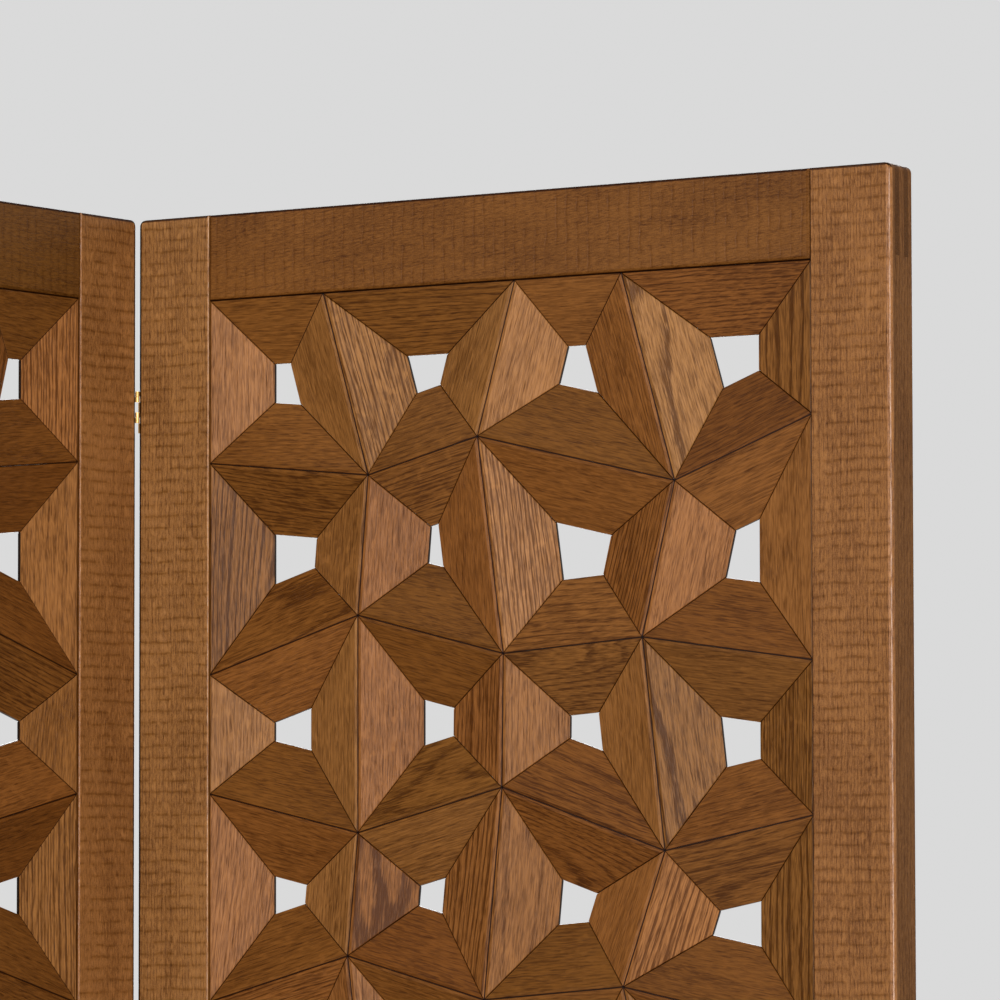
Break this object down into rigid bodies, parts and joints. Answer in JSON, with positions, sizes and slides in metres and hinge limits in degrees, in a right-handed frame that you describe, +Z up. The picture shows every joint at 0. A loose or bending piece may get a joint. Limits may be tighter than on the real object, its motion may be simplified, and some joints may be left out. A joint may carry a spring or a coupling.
{
  "type": "folding screen",
  "caption": "Free-standing folding screen of hinged oak panels, each a jointed frame around an openwork lattice of faceted wedge battens with small openings.",
  "frame": {"origin": "on the floor, under the centre of the middle panel", "axes": "+Z up; the front faces -Y; +X to the right along the line of the screen"},
  "size_m": [1.4046, 0.424, 1.708],
  "materials": {
    "oak_frame": "oiled, fine sawn ripple",
    "oak_battens": "oiled, planed",
    "brass": "satin"
  },
  "bodies": {
    "middle_panel": {"hinge_pins": "brass", "middle_panel_bottom_rail": "oak_frame", "middle_panel_lattice_row_01": "oak_battens", "middle_panel_lattice_row_02": "oak_battens", "middle_panel_lattice_row_03": "oak_battens", "middle_panel_lattice_row_04": "oak_battens", "middle_panel_lattice_row_05": "oak_battens", "middle_panel_lattice_row_06": "oak_battens", "middle_panel_lattice_row_07": "oak_battens", "middle_panel_lattice_row_08": "oak_battens", "middle_panel_lattice_row_09": "oak_battens", "middle_panel_lattice_row_10": "oak_battens", "middle_panel_lattice_row_11": "oak_battens", "middle_panel_lattice_row_12": "oak_battens", "middle_panel_lattice_row_13": "oak_battens", "middle_panel_left_hinge_leaves": "brass", "middle_panel_left_stile": "oak_frame", "middle_panel_right_hinge_leaves": "brass", "middle_panel_right_stile": "oak_frame", "middle_panel_top_rail": "oak_frame"},
    "right_panel": {"right_panel_bottom_rail": "oak_frame", "right_panel_lattice_row_01": "oak_battens", "right_panel_lattice_row_02": "oak_battens", "right_panel_lattice_row_03": "oak_battens", "right_panel_lattice_row_04": "oak_battens", "right_panel_lattice_row_05": "oak_battens", "right_panel_lattice_row_06": "oak_battens", "right_panel_lattice_row_07": "oak_battens", "right_panel_lattice_row_08": "oak_battens", "right_panel_lattice_row_09": "oak_battens", "right_panel_lattice_row_10": "oak_battens", "right_panel_lattice_row_11": "oak_battens", "right_panel_lattice_row_12": "oak_battens", "right_panel_lattice_row_13": "oak_battens", "right_panel_left_hinge_leaves": "brass", "right_panel_left_stile": "oak_frame", "right_panel_right_stile": "oak_frame", "right_panel_top_rail": "oak_frame"},
    "left_panel": {"left_panel_bottom_rail": "oak_frame", "left_panel_lattice_row_01": "oak_battens", "left_panel_lattice_row_02": "oak_battens", "left_panel_lattice_row_03": "oak_battens", "left_panel_lattice_row_04": "oak_battens", "left_panel_lattice_row_05": "oak_battens", "left_panel_lattice_row_06": "oak_battens", "left_panel_lattice_row_07": "oak_battens", "left_panel_lattice_row_08": "oak_battens", "left_panel_lattice_row_09": "oak_battens", "left_panel_lattice_row_10": "oak_battens", "left_panel_lattice_row_11": "oak_battens", "left_panel_lattice_row_12": "oak_battens", "left_panel_lattice_row_13": "oak_battens", "left_panel_left_stile": "oak_frame", "left_panel_right_hinge_leaves": "brass", "left_panel_right_stile": "oak_frame", "left_panel_top_rail": "oak_frame"}
  },
  "joints": [
    {"name": "right_fold", "type": "hinge", "parent": "middle_panel", "child": "right_panel", "pos_m": [0.23465, 0.18908, 0], "axis": [0, 0, 1], "range_deg": [-96, 84]},
    {"name": "left_fold", "type": "hinge", "parent": "middle_panel", "child": "left_panel", "pos_m": [-0.23465, -0.18908, 0], "axis": [0, 0, 1], "range_deg": [-96, 84]}
  ]
}
